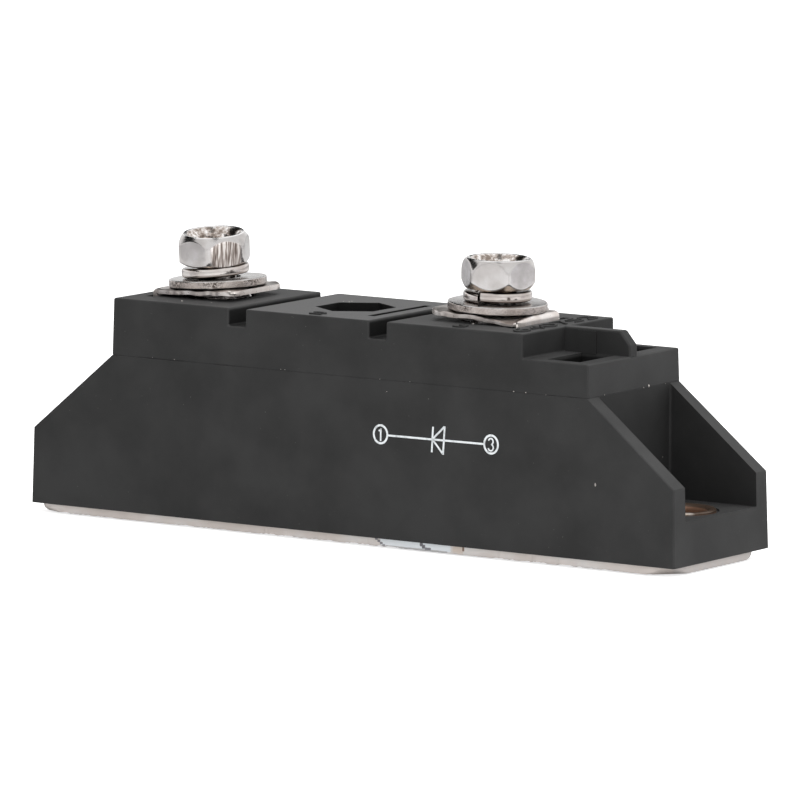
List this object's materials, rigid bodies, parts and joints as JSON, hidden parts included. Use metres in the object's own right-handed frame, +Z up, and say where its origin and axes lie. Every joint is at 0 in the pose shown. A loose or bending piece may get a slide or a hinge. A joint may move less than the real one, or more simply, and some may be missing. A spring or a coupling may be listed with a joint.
{
  "type": "single-diode rectifier module",
  "caption": "Low rectangular power rectifier module: black moulded housing with sloping ends and open fixing pockets on a plated base plate, with hexagon screw terminals on top.",
  "frame": {"origin": "centre of the base plate's underside", "axes": "+X along the module towards the end with the auxiliary sockets, -Y is the printed front, +Z up through the terminals"},
  "size_m": [0.092, 0.02, 0.0344],
  "materials": {
    "nickel_base": "nickel-plated copper sheet",
    "black_moulding": "moulded black-grey polyester",
    "eyelet_brass": "rolled brass with a nickel rim",
    "plated_strip": "nickel-plated copper strip",
    "plated_steel": "bright nickel-plated steel",
    "solder": "soft solder",
    "bare_copper": "bonded copper foil",
    "alumina": "fired alumina",
    "silicon": "lapped silicon",
    "molybdenum": "ground molybdenum",
    "gel": "clear silicone gel",
    "epoxy": "cast epoxy"
  },
  "bodies": {
    "root": {"base_plate": "nickel_base", "case_frame": "black_moulding", "top_cover": "black_moulding", "mounting_eyelet_left": "eyelet_brass", "mounting_eyelet_right": "eyelet_brass", "cathode_busbar": "plated_strip", "anode_busbar": "plated_strip", "flat_washer_left": "plated_steel", "flat_washer_right": "plated_steel", "spring_washer_left": "plated_steel", "spring_washer_right": "plated_steel", "terminal_screw_left": "plated_steel", "terminal_screw_right": "plated_steel", "terminal_nut_left": "plated_steel", "terminal_nut_right": "plated_steel", "substrate_solder": "solder", "chip_solder": "solder", "substrate_backing": "bare_copper", "cathode_pad": "bare_copper", "anode_pad": "bare_copper", "anode_clip": "bare_copper", "ceramic_substrate": "alumina", "diode_chip": "silicon", "contact_disc": "molybdenum", "silicone_gel": "gel", "epoxy_fill": "epoxy"}
  },
  "joints": []
}
